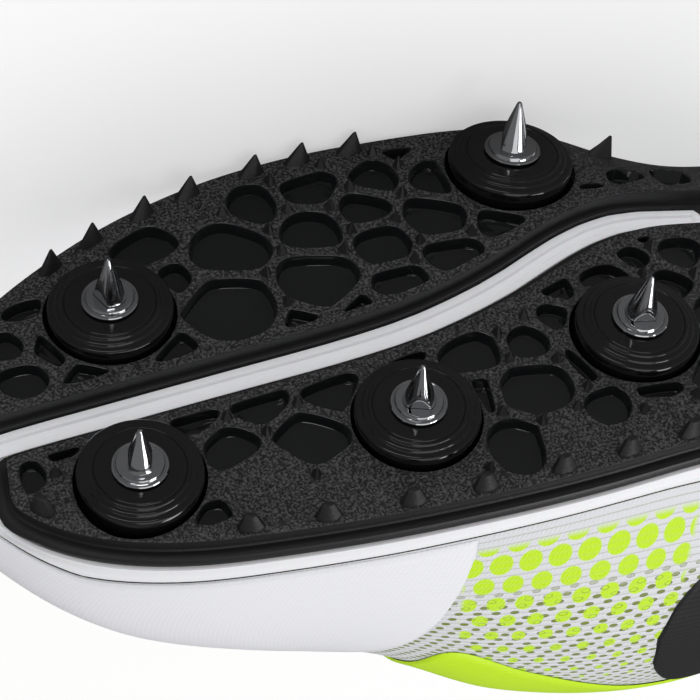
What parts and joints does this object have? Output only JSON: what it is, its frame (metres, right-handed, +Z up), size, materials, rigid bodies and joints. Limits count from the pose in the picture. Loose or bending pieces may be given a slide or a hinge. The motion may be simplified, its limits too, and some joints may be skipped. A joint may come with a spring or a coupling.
{
  "type": "track spike shoe",
  "caption": "Right track spike shoe with a honeycomb forefoot plate, screwed steel spikes, knitted upper and laces, lying on its medial side.",
  "frame": {"origin": "on the floor, under the middle of the shoe as it lies on its medial side", "axes": "+X from heel to toe, -Y the way the sole faces, +Z up from the floor to the lateral side"},
  "size_m": [0.2834, 0.1122, 0.0913],
  "materials": {
    "plate_black": "moulded black plate with a fine grained web and glossy pocket floors",
    "seat_black": "polished black moulded seat",
    "steel": "bright turned and plated steel",
    "foam_white": "smooth white foam",
    "mesh_white": "white engineered knit with small slots",
    "film_white": "thin white film pressed on the knit",
    "neon": "neon yellow film over knit",
    "lace_neon": "flat woven lace",
    "quarter_black": "black film over knit",
    "insole_grey": "brushed textile over foam"
  },
  "bodies": {
    "root": {"plate_medial": "plate_black", "plate_lateral": "plate_black", "heel_pad": "plate_black", "midsole": "foam_white", "insole": "insole_grey", "upper": "mesh_white", "toe_film": "film_white", "eyestay": "neon", "heel_quarter": "quarter_black", "tongue": "mesh_white", "lace_crossing_1": "lace_neon", "lace_crossing_2": "lace_neon", "lace_crossing_3": "lace_neon", "lace_crossing_4": "lace_neon", "lace_crossing_5": "lace_neon", "stud_seat_toe_lateral": "seat_black", "stud_seat_toe_medial": "seat_black", "stud_seat_ball_lateral": "seat_black", "stud_seat_tread_lateral": "seat_black", "stud_seat_tread_medial": "seat_black", "spike_toe_lateral": "steel", "spike_toe_medial": "steel", "spike_ball_lateral": "steel", "spike_tread_lateral": "steel", "spike_tread_medial": "steel"}
  },
  "joints": []
}
